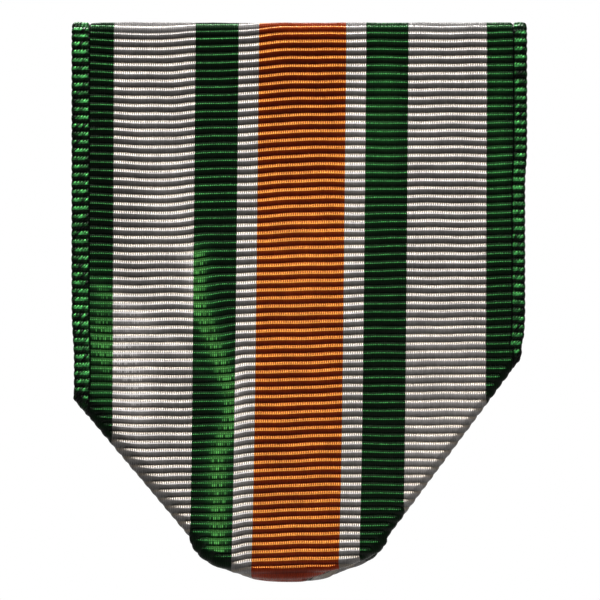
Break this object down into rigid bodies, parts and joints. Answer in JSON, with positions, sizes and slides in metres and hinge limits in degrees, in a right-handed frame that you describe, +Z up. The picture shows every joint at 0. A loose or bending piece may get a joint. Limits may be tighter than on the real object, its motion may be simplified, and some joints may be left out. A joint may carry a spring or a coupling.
{
  "type": "medal ribbon drape",
  "caption": "Folded striped grosgrain ribbon drape of a full-size service medal, with a pin-back brooch and safety catch behind its top fold.",
  "frame": {"origin": "on the closed pin's axis, which the drape hangs from, midway between the ribbon's two edges", "axes": "+X to the right seen from the front, +Y back into the garment, +Z up"},
  "size_m": [0.035, 0.0058, 0.0429],
  "materials": {
    "woven_ribbon": "corded rayon weave in green, white and orange stripes, with a silky sheen",
    "sewing_thread": "twisted green thread",
    "brass": "stamped, satin, lightly tarnished",
    "steel": "drawn wire, bright"
  },
  "bodies": {
    "drape": {"ribbon": "woven_ribbon", "seam_thread": "sewing_thread", "inner_bar": "brass", "back_plate": "brass", "plate_rivet_left": "brass", "plate_rivet_right": "brass", "hinge_bracket": "brass", "hinge_rivet": "steel", "catch_housing": "brass"},
    "pin": {"pin_stem": "steel"},
    "rotor": {"catch_rotor": "brass"}
  },
  "joints": [
    {"name": "pin_hinge", "type": "hinge", "parent": "drape", "child": "pin", "pos_m": [-0.0132, 0, 0], "axis": [0, 0, 1], "range_deg": [0, 80]},
    {"name": "catch_lock", "type": "hinge", "parent": "drape", "child": "rotor", "pos_m": [0.0132, 0, 0], "axis": [-1, 0, 0], "range_deg": [0, 120]}
  ]
}
